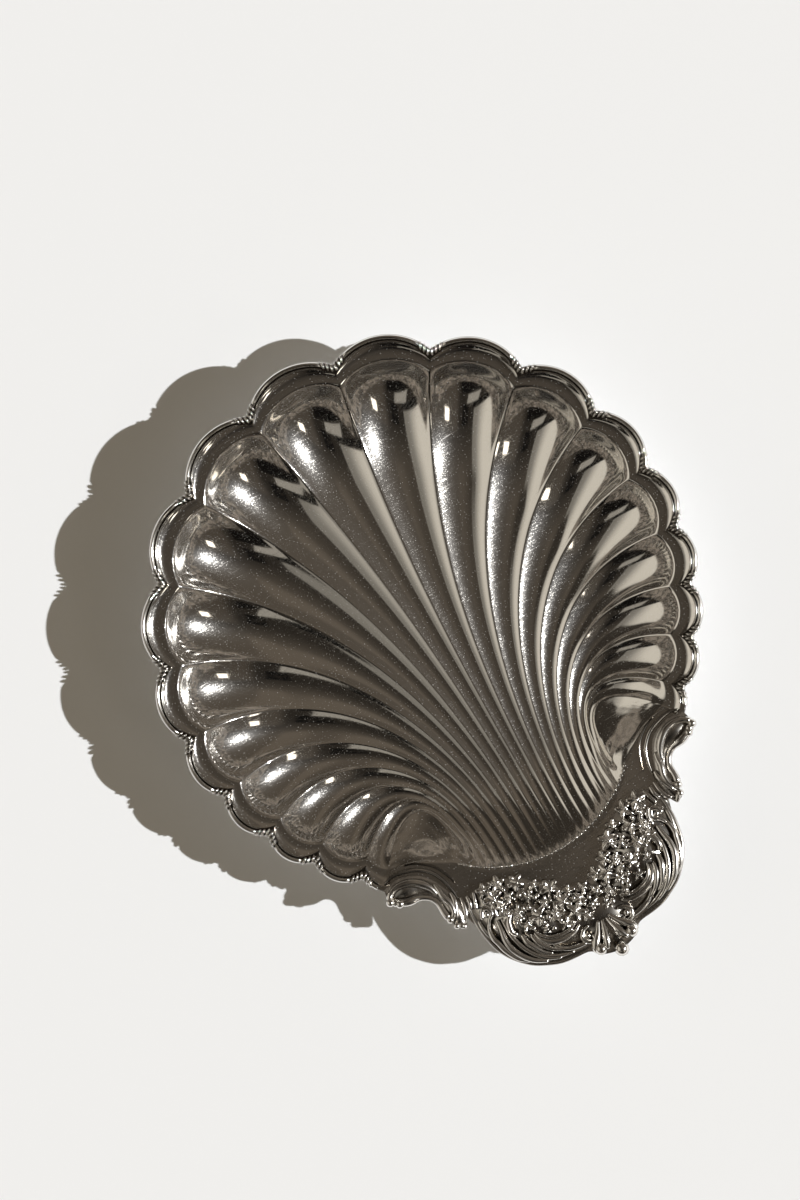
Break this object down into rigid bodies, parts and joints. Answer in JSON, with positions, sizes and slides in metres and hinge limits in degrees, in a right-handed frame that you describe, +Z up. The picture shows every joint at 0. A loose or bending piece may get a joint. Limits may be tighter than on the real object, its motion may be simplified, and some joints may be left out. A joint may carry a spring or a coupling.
{
  "type": "shell dish",
  "caption": "Silver-plated shell dish with a fluted bowl, scalloped moulded rim, scroll-and-flower handle and small bun feet.",
  "frame": {"origin": "on the floor, under the middle of the dish's outline", "axes": "+X to the right seen with the front lobe ahead, +Y from the handle to the front lobe, +Z up"},
  "size_m": [0.23, 0.2788, 0.036],
  "materials": {
    "shell_silver": "mirror polished silver plate, finely scratched in the bowl",
    "border_silver": "polished silver plate",
    "mount_silver": "polished silver plate, darker in the recesses",
    "foot_silver": "polished silver plate"
  },
  "bodies": {
    "root": {"shell_body": "shell_silver", "rim_border": "border_silver", "scroll_left": "mount_silver", "scroll_right": "mount_silver", "handle_crest": "mount_silver", "foot_front_left": "foot_silver", "foot_front_right": "foot_silver", "foot_heel": "foot_silver"}
  },
  "joints": []
}
